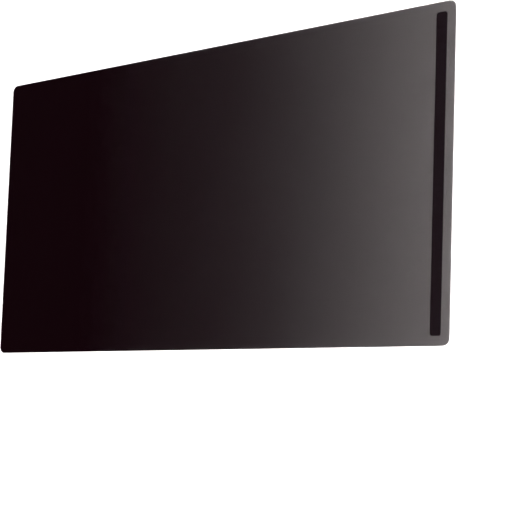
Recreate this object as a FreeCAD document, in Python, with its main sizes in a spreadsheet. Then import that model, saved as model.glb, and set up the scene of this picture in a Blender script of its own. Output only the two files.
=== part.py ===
import FreeCAD, Part
import os
import Sketcher

# A privacy filter for a monitor: one stiff laminated sheet of louvre film, cut to the size of the
# screen, with a flexible black mounting strip bonded along the back of each short side.
#
# It lies as it comes to rest, front face up: X runs along the wide side, Y up the screen, and Z out of
# the front face. The undersides of the two strips are at Z = 0, and the origin is midway between them.

# Driving dimensions, in millimetres
DIMENSIONS = {
    "panel_width": 531.0,
    "panel_height": 299.0,
    "panel_thickness": 0.55,
    "panel_corner_radius": 6.5,
    "strip_width": 9.8,
    "strip_thickness": 0.8,
    "strip_corner_radius": 2.2,
    "strip_side_inset": 8.8,
    "strip_end_inset": 8.8,
}

doc = FreeCAD.newDocument("monitor_privacy_filter")
sizes = doc.addObject("Spreadsheet::Sheet", "sizes")
for row, (name, millimetres) in enumerate(DIMENSIONS.items(), start=1):
    sizes.set(f"A{row}", name)
    sizes.set(f"B{row}", str(millimetres))
    sizes.setAlias(f"B{row}", name)
doc.recompute()


def origin_plane(body, role):
    """The plane of the body's own origin that has the given role."""
    return next(plane for plane in body.Origin.OriginFeatures if plane.Role == role)


def centred_rectangle(body, width, height):
    """A sketch on the body's XY plane: a rectangle about the origin, its two sides bound to expressions."""
    sketch = body.newObject("Sketcher::SketchObject", f"{body.Name}_outline")
    sketch.AttachmentSupport = [(origin_plane(body, "XY_Plane"), "")]
    sketch.MapMode = "FlatFace"

    corners = [FreeCAD.Vector(x, y, 0) for x, y in ((-1, -1), (1, -1), (1, 1), (-1, 1))]
    for start, end in zip(corners, corners[1:] + corners[:1]):
        sketch.addGeometry(Part.LineSegment(start, end), False)
    bottom, right, top, left = range(4)
    first_point, last_point, sketch_origin = 1, 2, (-1, 1)
    for line, following in ((bottom, right), (right, top), (top, left), (left, bottom)):
        sketch.addConstraint(Sketcher.Constraint("Coincident", line, last_point, following, first_point))
    for line in (bottom, top):
        sketch.addConstraint(Sketcher.Constraint("Horizontal", line))
    for line in (right, left):
        sketch.addConstraint(Sketcher.Constraint("Vertical", line))
    sketch.addConstraint(
        Sketcher.Constraint("Symmetric", bottom, first_point, top, first_point, *sketch_origin)
    )

    for name, kind, line, side in (
        ("width", "DistanceX", bottom, width),
        ("height", "DistanceY", right, height),
    ):
        drawn_side = corners[1].x - corners[0].x
        index = sketch.addConstraint(
            Sketcher.Constraint(kind, line, first_point, line, last_point, drawn_side)
        )
        sketch.renameConstraint(index, name)
        sketch.setExpression(f"Constraints.{name}", side)
    return sketch


def die_cut_sheet(label, width, height, thickness, corner_radius):
    """A flat sheet cut square through its thickness, with four round corners, standing on Z = 0."""
    body = doc.addObject("PartDesign::Body", label)
    outline = centred_rectangle(body, width, height)
    doc.recompute()

    sheet = body.newObject("PartDesign::Pad", f"{label}_sheet")
    sheet.Profile = outline
    sheet.setExpression("Length", thickness)
    doc.recompute()

    upright_edges = [
        f"Edge{number}"
        for number, edge in enumerate(sheet.Shape.Edges, start=1)
        if abs(edge.tangentAt(edge.FirstParameter).z) > 0.5
    ]
    corners = body.newObject("PartDesign::Fillet", f"{label}_corners")
    corners.Base = (sheet, upright_edges)
    corners.setExpression("Radius", corner_radius)
    body.Tip = corners
    return body


# Panel: louvre film between two clear sheets, bonded for life and cut out as one. It bears on the strips.
panel = die_cut_sheet(
    "filter_panel",
    "sizes.panel_width",
    "sizes.panel_height",
    "sizes.panel_thickness",
    "sizes.panel_corner_radius",
)
panel.setExpression("Placement.Base.z", "sizes.strip_thickness")

# Mounting strips: flat flexible strips bonded to the panel's back, set in from its sides and its ends.
strips = []
for side, sign in (("left", "-"), ("right", "")):
    strip = die_cut_sheet(
        f"mounting_strip_{side}",
        "sizes.strip_width",
        "sizes.panel_height - 2 * sizes.strip_end_inset",
        "sizes.strip_thickness",
        "sizes.strip_corner_radius",
    )
    strip.setExpression(
        "Placement.Base.x",
        f"{sign}(sizes.panel_width / 2 - sizes.strip_side_inset - sizes.strip_width / 2)",
    )
    strips.append(strip)

doc.recompute()

for item in doc.Objects:
    if "Invalid" in item.State or "Error" in item.State:
        raise RuntimeError(f"{item.Label} did not recompute: {item.State}")

nodes = [panel, *strips]
for node in nodes:
    if node.Shape.isNull() or not node.Shape.isValid():
        raise RuntimeError(f"{node.Label} has no valid shape")

os.makedirs("parts", exist_ok=True)
for node in nodes:
    node.Shape.exportStep(f"parts/{node.Label}.step")
    box = node.Shape.BoundBox
    print(
        f"{node.Label}: {box.XLength:.2f} x {box.YLength:.2f} x {box.ZLength:.2f} mm,",
        f"from z {box.ZMin:.2f}, {node.Shape.Volume / 1000:.2f} cm3",
    )
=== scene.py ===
import math

import bpy
import numpy as np
from mathutils import Matrix, Vector


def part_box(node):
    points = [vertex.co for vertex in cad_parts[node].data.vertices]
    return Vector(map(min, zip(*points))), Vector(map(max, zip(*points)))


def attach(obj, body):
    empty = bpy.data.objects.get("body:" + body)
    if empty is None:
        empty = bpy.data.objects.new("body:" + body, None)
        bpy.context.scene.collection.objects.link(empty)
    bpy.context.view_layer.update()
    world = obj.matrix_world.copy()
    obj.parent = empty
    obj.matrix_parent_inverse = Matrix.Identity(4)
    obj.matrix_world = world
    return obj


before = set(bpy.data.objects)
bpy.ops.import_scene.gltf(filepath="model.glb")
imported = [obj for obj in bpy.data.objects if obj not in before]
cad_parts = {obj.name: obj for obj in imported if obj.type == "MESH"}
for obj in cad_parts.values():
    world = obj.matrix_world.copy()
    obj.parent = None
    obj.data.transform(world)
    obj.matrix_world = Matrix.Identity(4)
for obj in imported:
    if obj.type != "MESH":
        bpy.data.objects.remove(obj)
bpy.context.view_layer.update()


# Filter panel
# A stiff sheet of louvre film bonded between two clear polyester sheets with a matt hard coat, die-cut
# in one stroke to the size of the screen. It lies front up, carried by the two strips under its sides.

MM_PER_METRE = 1000


def linear(hex_colour):
    """An sRGB hex colour as linear RGBA: each channel is undone by the sRGB curve."""
    encoded = np.array([int(hex_colour[i:i + 2], 16) for i in (1, 3, 5)]) / 255
    decoded = np.where(encoded <= 0.04045, encoded / 12.92, ((encoded + 0.055) / 1.055) ** 2.4)
    return (*decoded.tolist(), 1.0)


def per_metre(millimetres):
    """The texture scale whose features are that many millimetres across, on coordinates in metres."""
    return MM_PER_METRE / millimetres


def new_material(name):
    """A material with an empty node tree, and that tree."""
    material = bpy.data.materials.new(name)
    material.use_nodes = True
    material.node_tree.nodes.clear()
    return material, material.node_tree


def add_node(tree, kind, inputs=(), **settings):
    """Adds a node, sets its own properties, then gives each input a value or a link from an output."""
    node = tree.nodes.new(kind)
    for name, value in settings.items():
        setattr(node, name, value)
    for socket, value in dict(inputs).items():
        if isinstance(value, bpy.types.NodeSocket):
            tree.links.new(value, node.inputs[socket])
        else:
            node.inputs[socket].default_value = value
    return node


# A Mix node has sockets for every kind of data, so those for colours are reached by number.
MIX_FACTOR, MIX_FIRST, MIX_SECOND, MIX_RESULT = 0, 6, 7, 2


def cover(piece, material):
    """Gives the piece this material alone."""
    piece.data.materials.clear()
    piece.data.materials.append(material)


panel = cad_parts["filter_panel"]
panel_low, panel_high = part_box("filter_panel")

# Polyester with a matt hard coat: clear, with a faint wine-coloured haze and a soft reflection that grows
# towards grazing. The cut edge shows the dark film between two frosted skins.
HAZE_DARK = "#18030f"
HAZE_LIGHT = "#1e0513"
HAZE_CLOUD_MM = 60.0
HAZE_CLOUD_DETAIL = 3.0
FACE_ALPHA = 0.12
EDGE_SKIN = "#57504f"
EDGE_CORE = "#2b2528"
EDGE_SKIN_MM = 0.08
EDGE_ALPHA = 0.9
COAT_GRAIN_MM = 1.2    # real grain is about 0.05 mm, drawn this coarse so that it shows
COAT_GRAIN_DETAIL = 2.0
COAT_GRAIN_HEIGHT_MM = 0.002
COAT_GRAIN_STRENGTH = 0.3
COAT_ROUGHNESS = (0.20, 0.26)
COAT_SPECULAR = 0.8
POLYESTER_IOR = 1.57

film, tree = new_material("hard_coated_louvre_film")
place = add_node(tree, "ShaderNodeTexCoord")
cloud = add_node(tree, "ShaderNodeTexNoise", {
    "Vector": place.outputs["Object"], "Scale": per_metre(HAZE_CLOUD_MM), "Detail": HAZE_CLOUD_DETAIL,
})
haze = add_node(tree, "ShaderNodeMix", {
    MIX_FACTOR: cloud.outputs["Fac"], MIX_FIRST: linear(HAZE_DARK), MIX_SECOND: linear(HAZE_LIGHT),
}, data_type="RGBA")
position = add_node(tree, "ShaderNodeSeparateXYZ", {"Vector": place.outputs["Object"]})
edge_core = add_node(tree, "ShaderNodeMath", {
    0: position.outputs["Z"],
    1: (panel_low.z + panel_high.z) / 2,
    2: (panel_high.z - panel_low.z) / 2 - EDGE_SKIN_MM / MM_PER_METRE,
}, operation="COMPARE")
edge = add_node(tree, "ShaderNodeMix", {
    MIX_FACTOR: edge_core.outputs["Value"], MIX_FIRST: linear(EDGE_SKIN), MIX_SECOND: linear(EDGE_CORE),
}, data_type="RGBA")
normal = add_node(tree, "ShaderNodeSeparateXYZ", {"Vector": place.outputs["Normal"]})
on_face = add_node(tree, "ShaderNodeMath", {0: normal.outputs["Z"]}, operation="ABSOLUTE")
colour = add_node(tree, "ShaderNodeMix", {
    MIX_FACTOR: on_face.outputs["Value"],
    MIX_FIRST: edge.outputs[MIX_RESULT],
    MIX_SECOND: haze.outputs[MIX_RESULT],
}, data_type="RGBA")
alpha = add_node(tree, "ShaderNodeMapRange", {
    "Value": on_face.outputs["Value"], "To Min": EDGE_ALPHA, "To Max": FACE_ALPHA,
})
grain = add_node(tree, "ShaderNodeTexNoise", {
    "Vector": place.outputs["Object"], "Scale": per_metre(COAT_GRAIN_MM), "Detail": COAT_GRAIN_DETAIL,
})
roughness = add_node(tree, "ShaderNodeMapRange", {
    "Value": grain.outputs["Fac"], "To Min": COAT_ROUGHNESS[0], "To Max": COAT_ROUGHNESS[1],
})
bump = add_node(tree, "ShaderNodeBump", {
    "Height": grain.outputs["Fac"],
    "Strength": COAT_GRAIN_STRENGTH,
    "Distance": COAT_GRAIN_HEIGHT_MM / MM_PER_METRE,
})
surface = add_node(tree, "ShaderNodeBsdfPrincipled", {
    "Base Color": colour.outputs[MIX_RESULT],
    "Roughness": roughness.outputs["Result"],
    "Normal": bump.outputs["Normal"],
    "Alpha": alpha.outputs["Result"],
    "IOR": POLYESTER_IOR,
    "Specular IOR Level": COAT_SPECULAR,
})
add_node(tree, "ShaderNodeOutputMaterial", {"Surface": surface.outputs["BSDF"]})
cover(panel, film)


# Louvres
# Upright walls of black resin cast into the film, side by side across the whole sheet, like a blind too
# fine to see. They pass light straight on and block it from the sides, which is what makes the privacy.

LOUVRE_PITCH_MM = 0.1
LOUVRE_WALL_SHARE = 0.10    # of the pitch
LOUVRE_CUT_OFF = math.radians(42.5)    # the slant at which each wall just hides the gap beside it
LOUVRE_DEPTH_SPREAD = 0.01    # of the depth, as a standard deviation
LOUVRE_EDGE_GAP_MM = 0.02
LOUVRE_SEED = 7


def corner_radius(mesh, high, tolerance=1e-6):
    """How far the straight part of the sheet's top edge stops short of its right side."""
    places = np.empty(3 * len(mesh.vertices))
    mesh.vertices.foreach_get("co", places)
    places = places.reshape(-1, 3)
    on_top_edge = places[:, 1] > high.y - tolerance
    return high.x - places[on_top_edge, 0].max()


def louvre_walls(low, high, radius, pitch, wall, depths):
    """Vertices and faces of all walls: a rectangle, wall wide and as high as that wall's depth, carried
    along Y. The walls stand one pitch apart, and each ends where it would leave the round-cornered box."""
    half_width, half_height = (high.x - low.x) / 2, (high.y - low.y) / 2
    count = len(depths)
    centre = (np.arange(count) - (count - 1) / 2) * pitch
    into_corner = np.clip(np.abs(centre) + wall / 2 - (half_width - radius), 0, radius)
    reach = half_height - radius + np.sqrt(radius ** 2 - into_corner ** 2)

    around = np.array([(-1, -1), (1, -1), (1, 1), (-1, 1)]) / 2
    ends = np.array([-1, 1])
    points = np.zeros((count, len(ends), len(around), 3))
    points[..., 0] = centre[:, None, None] + around[:, 0] * wall
    points[..., 1] = reach[:, None, None] * ends[None, :, None]
    points[..., 2] = (low.z + high.z) / 2 + around[:, 1] * depths[:, None, None]

    near = np.arange(len(around))
    far = near + len(around)
    sides = np.stack([far, np.roll(far, -1), np.roll(near, -1), near], axis=1)
    one_wall = np.concatenate([sides, [near, far[::-1]]])
    first_point = np.arange(count) * len(ends) * len(around)
    faces = first_point[:, None, None] + one_wall
    return points.reshape(-1, 3), faces.reshape(-1, 4)


def link_object(name, data):
    """A new object with that data, at the origin of the scene."""
    thing = bpy.data.objects.new(name, data)
    bpy.context.scene.collection.objects.link(thing)
    return thing


def mesh_object(name, points, faces):
    """A new object whose mesh has these points and faces, given as arrays."""
    mesh = bpy.data.meshes.new(name)
    mesh.from_pydata(points.tolist(), [], faces.tolist())
    mesh.update()
    return link_object(name, mesh)


gap = Vector((1, 1, 0)) * LOUVRE_EDGE_GAP_MM / MM_PER_METRE
louvre_low, louvre_high = panel_low + gap, panel_high - gap
louvre_pitch = LOUVRE_PITCH_MM / MM_PER_METRE
louvre_wall = louvre_pitch * LOUVRE_WALL_SHARE
louvre_depth = (louvre_pitch - louvre_wall) / math.tan(LOUVRE_CUT_OFF)
louvre_count = int((louvre_high.x - louvre_low.x - louvre_wall) / louvre_pitch)
uneven = np.random.default_rng(LOUVRE_SEED).normal(size=louvre_count)
louvres = mesh_object("louvres", *louvre_walls(
    louvre_low, louvre_high, corner_radius(panel.data, panel_high),
    louvre_pitch, louvre_wall, louvre_depth * (1 + LOUVRE_DEPTH_SPREAD * uneven),
))
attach(louvres, "root")

# Black-filled acrylic resin: matt, nearly black, with a trace of the film's wine colour.
RESIN_DARK = "#040101"
RESIN_LIGHT = "#060202"
RESIN_MOTTLE_MM = 8.0
RESIN_MOTTLE_DETAIL = 2.0
RESIN_ROUGHNESS = 0.9
RESIN_SPECULAR = 0.0

resin, tree = new_material("black_louvre_resin")
place = add_node(tree, "ShaderNodeTexCoord")
mottle = add_node(tree, "ShaderNodeTexNoise", {
    "Vector": place.outputs["Object"], "Scale": per_metre(RESIN_MOTTLE_MM), "Detail": RESIN_MOTTLE_DETAIL,
})
colour = add_node(tree, "ShaderNodeMix", {
    MIX_FACTOR: mottle.outputs["Fac"], MIX_FIRST: linear(RESIN_DARK), MIX_SECOND: linear(RESIN_LIGHT),
}, data_type="RGBA")
surface = add_node(tree, "ShaderNodeBsdfPrincipled", {
    "Base Color": colour.outputs[MIX_RESULT],
    "Roughness": RESIN_ROUGHNESS,
    "Specular IOR Level": RESIN_SPECULAR,
})
add_node(tree, "ShaderNodeOutputMaterial", {"Surface": surface.outputs["BSDF"]})
cover(louvres, resin)


# Mounting strips
# Flexible magnet, rolled out as a flat black band and punched to length with round corners. One is bonded
# to the back of the panel along each short side, and the filter rests on them.

# Filled rubber: flat black, with faint lines along the band from rolling and a fine powdery grain.
STRIP_DARK = "#424346"
STRIP_LIGHT = "#4d4e51"
STRIP_LINE_MM = 1.1
STRIP_LINE_STRETCH = 0.02
STRIP_LINE_DETAIL = 2.0
STRIP_GRAIN_MM = 1.5    # real grain is about 0.1 mm, drawn this coarse so that it shows
STRIP_GRAIN_DETAIL = 4.0
STRIP_BLEND_RANGE = (0.1, 0.45)
STRIP_RELIEF_MM = 0.05
STRIP_RELIEF_STRENGTH = 0.4
STRIP_ROUGHNESS = (0.62, 0.78)
STRIP_SPECULAR = 0.25
RUBBER_IOR = 1.5

rubber, tree = new_material("flexible_magnet_rubber")
place = add_node(tree, "ShaderNodeTexCoord")
along = add_node(tree, "ShaderNodeMapping", {
    "Vector": place.outputs["Object"], "Scale": (1.0, STRIP_LINE_STRETCH, 1.0),
})
lines = add_node(tree, "ShaderNodeTexNoise", {
    "Vector": along.outputs["Vector"], "Scale": per_metre(STRIP_LINE_MM), "Detail": STRIP_LINE_DETAIL,
})
grain = add_node(tree, "ShaderNodeTexNoise", {
    "Vector": place.outputs["Object"], "Scale": per_metre(STRIP_GRAIN_MM), "Detail": STRIP_GRAIN_DETAIL,
})
blend = add_node(tree, "ShaderNodeMath", {
    0: lines.outputs["Fac"], 1: grain.outputs["Fac"],
}, operation="MULTIPLY")
spread = add_node(tree, "ShaderNodeMapRange", {
    "Value": blend.outputs["Value"], "From Min": STRIP_BLEND_RANGE[0], "From Max": STRIP_BLEND_RANGE[1],
})
colour = add_node(tree, "ShaderNodeMix", {
    MIX_FACTOR: spread.outputs["Result"], MIX_FIRST: linear(STRIP_DARK), MIX_SECOND: linear(STRIP_LIGHT),
}, data_type="RGBA")
roughness = add_node(tree, "ShaderNodeMapRange", {
    "Value": grain.outputs["Fac"], "To Min": STRIP_ROUGHNESS[0], "To Max": STRIP_ROUGHNESS[1],
})
bump = add_node(tree, "ShaderNodeBump", {
    "Height": blend.outputs["Value"],
    "Strength": STRIP_RELIEF_STRENGTH,
    "Distance": STRIP_RELIEF_MM / MM_PER_METRE,
})
surface = add_node(tree, "ShaderNodeBsdfPrincipled", {
    "Base Color": colour.outputs[MIX_RESULT],
    "Roughness": roughness.outputs["Result"],
    "Normal": bump.outputs["Normal"],
    "IOR": RUBBER_IOR,
    "Specular IOR Level": STRIP_SPECULAR,
})
add_node(tree, "ShaderNodeOutputMaterial", {"Surface": surface.outputs["BSDF"]})
for side in ("left", "right"):
    cover(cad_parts[f"mounting_strip_{side}"], rubber)


# Floor
# A plain pale table top of painted board, wide enough to fill every view. It lies at the level of the
# strips' undersides, so the filter rests on it.

FLOOR_HALF_WIDTH = 30.0

corners = np.array([(-1, -1, 0), (1, -1, 0), (1, 1, 0), (-1, 1, 0)]) * FLOOR_HALF_WIDTH
floor = mesh_object("floor", corners, np.array([(0, 1, 2, 3)]))

# Matt white paint: plain and even, with a mottle that hardly shows.
FLOOR_PALE = "#e6e6e6"
FLOOR_PALER = "#ededed"
FLOOR_MOTTLE_MM = 25.0
FLOOR_MOTTLE_DETAIL = 3.0
FLOOR_ROUGHNESS = 0.8
FLOOR_SPECULAR = 0.2

paint, tree = new_material("matt_white_paint")
place = add_node(tree, "ShaderNodeTexCoord")
mottle = add_node(tree, "ShaderNodeTexNoise", {
    "Vector": place.outputs["Object"], "Scale": per_metre(FLOOR_MOTTLE_MM), "Detail": FLOOR_MOTTLE_DETAIL,
})
colour = add_node(tree, "ShaderNodeMix", {
    MIX_FACTOR: mottle.outputs["Fac"], MIX_FIRST: linear(FLOOR_PALE), MIX_SECOND: linear(FLOOR_PALER),
}, data_type="RGBA")
surface = add_node(tree, "ShaderNodeBsdfPrincipled", {
    "Base Color": colour.outputs[MIX_RESULT],
    "Roughness": FLOOR_ROUGHNESS,
    "Specular IOR Level": FLOOR_SPECULAR,
})
add_node(tree, "ShaderNodeOutputMaterial", {"Surface": surface.outputs["BSDF"]})
cover(floor, paint)


# Light
# A long soft box beside the camera shines into the louvres at a slant that shuts towards the left, and a
# weak one overhead shines straight through them. The louvres shut out the rest: two low soft boxes at
# opposite corners, which lay a sheen on the coat, and a broad slanting fill for the open floor.

SOFT_BOXES = {    # metres and watts
    "key": {"place": (0.874, -0.1, 0.9), "size": (0.6, 0.15), "power": 30.0},
    "overhead": {"place": (0.3, 0.0, 2.2), "size": (0.6, 0.8), "power": 4.7},
    "far_sheen": {"place": (-1.2, 1.45, 0.92), "size": (0.5, 0.5), "power": 5.0},
    "near_sheen": {"place": (1.35, -1.35, 0.5), "size": (0.5, 0.4), "power": 3.0},
}
SOFT_BOX_COLOUR = "#fff7f8"
FILL_PLACE = (2.0, -0.3, 1.4)
FILL_IRRADIANCE = 5.8
FILL_SPREAD = math.radians(20)


def aimed_from(place):
    """The matrix of a light that stands at a place and shines at the scene's origin, under the sheet."""
    towards_origin = Vector((0, 0, 0)) - Vector(place)
    turn = towards_origin.to_track_quat("-Z", "Y")
    return Matrix.Translation(place) @ turn.to_matrix().to_4x4()


for name, box in SOFT_BOXES.items():
    lamp = bpy.data.lights.new(name, "AREA")
    lamp.shape = "RECTANGLE"
    lamp.size, lamp.size_y = box["size"]
    lamp.energy = box["power"]
    lamp.color = linear(SOFT_BOX_COLOUR)[:3]
    link_object(name, lamp).matrix_world = aimed_from(box["place"])

lamp = bpy.data.lights.new("fill", "SUN")
lamp.energy = FILL_IRRADIANCE
lamp.angle = FILL_SPREAD
link_object("fill", lamp).matrix_world = aimed_from(FILL_PLACE)

# The studio's walls are white and its ceiling is dark, so that the film mirrors little from above.
WALL_RADIANCE = 1.03
CEILING_RADIANCE = 0.015
WALL_FADE = (0.26, 0.58)    # sines of the elevations where the white starts and ends its fade
WALL_COLOUR = "#ffffff"

world = bpy.data.worlds.new("studio")
world.use_nodes = True
bpy.context.scene.world = world
tree = world.node_tree
tree.nodes.clear()
place = add_node(tree, "ShaderNodeTexCoord")
direction = add_node(tree, "ShaderNodeSeparateXYZ", {"Vector": place.outputs["Generated"]})
fade = add_node(tree, "ShaderNodeMapRange", {
    "Value": direction.outputs["Z"],
    "From Min": WALL_FADE[0],
    "From Max": WALL_FADE[1],
    "To Min": WALL_RADIANCE,
    "To Max": CEILING_RADIANCE,
}, interpolation_type="SMOOTHSTEP")
background = add_node(tree, "ShaderNodeBackground", {
    "Color": linear(WALL_COLOUR), "Strength": fade.outputs["Result"],
})
add_node(tree, "ShaderNodeOutputWorld", {"Surface": background.outputs["Background"]})

# The plain sRGB view keeps the floor white and the film's blacks deep.
bpy.context.scene.view_settings.view_transform = "Standard"


# Camera
# It looks down on the sheet from its right and a little from below, with the sheet's top upwards. Its
# place and its aim are measured in metres from the middle of the sheet's face.

CAMERA_FROM_FACE = Vector((0.6388, -0.2272, 0.8576))
CAMERA_AIM_ON_FACE = Vector((0.0809, -0.1506, 0.0))
CAMERA_ROLL = math.radians(1.92)
CAMERA_LENS_MM = 75.19
CAMERA_SHIFT_UP = 0.1701

face_middle = Vector((0, 0, panel_high.z))
sheet_up = Vector((0, 1, 0))
look = (CAMERA_AIM_ON_FACE - CAMERA_FROM_FACE).normalized()
right = look.cross(sheet_up).normalized()
turn = Matrix((right, right.cross(look), -look)).transposed() @ Matrix.Rotation(CAMERA_ROLL, 3, "Z")
optics = bpy.data.cameras.new("camera")
optics.lens = CAMERA_LENS_MM
optics.shift_y = CAMERA_SHIFT_UP
camera = link_object("camera", optics)
camera.matrix_world = Matrix.Translation(face_middle + CAMERA_FROM_FACE) @ turn.to_4x4()
bpy.context.scene.camera = camera
